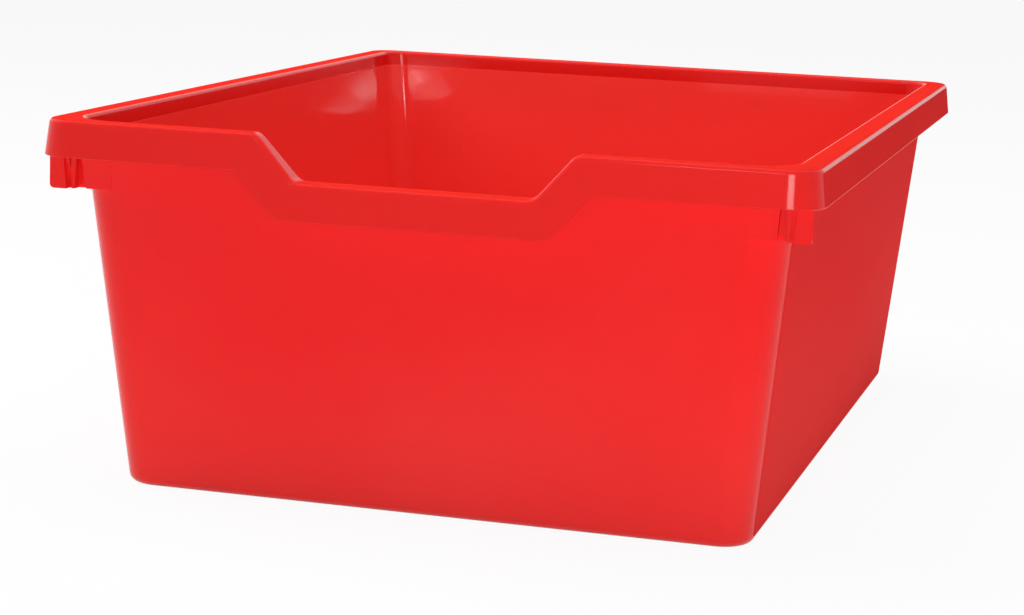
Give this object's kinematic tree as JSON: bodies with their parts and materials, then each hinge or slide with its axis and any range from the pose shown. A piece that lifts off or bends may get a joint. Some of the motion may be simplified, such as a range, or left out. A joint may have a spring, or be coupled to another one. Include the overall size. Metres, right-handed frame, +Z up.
{
  "type": "storage tray",
  "caption": "Deep open-topped storage tray in glossy plastic with leaning walls, a turned-down rim, a dipped front and stop lugs under the front corners.",
  "frame": {"origin": "centre of the overall box in plan, at the flat underside of the base, where the tray rests", "axes": "+X to the tray's right as seen from its dipped front, +Y from the dipped front towards the back, +Z up"},
  "size_m": [0.312, 0.427, 0.152],
  "materials": {
    "tray_plastic": "gloss"
  },
  "bodies": {
    "root": {"base": "tray_plastic", "front_wall": "tray_plastic", "back_wall": "tray_plastic", "left_wall": "tray_plastic", "right_wall": "tray_plastic", "front_left_corner": "tray_plastic", "front_right_corner": "tray_plastic", "back_left_corner": "tray_plastic", "back_right_corner": "tray_plastic", "front_rim": "tray_plastic", "back_rim": "tray_plastic", "left_rim": "tray_plastic", "right_rim": "tray_plastic", "front_left_rim_corner": "tray_plastic", "front_right_rim_corner": "tray_plastic", "back_left_rim_corner": "tray_plastic", "back_right_rim_corner": "tray_plastic", "left_stop_lug": "tray_plastic", "right_stop_lug": "tray_plastic"}
  },
  "joints": []
}
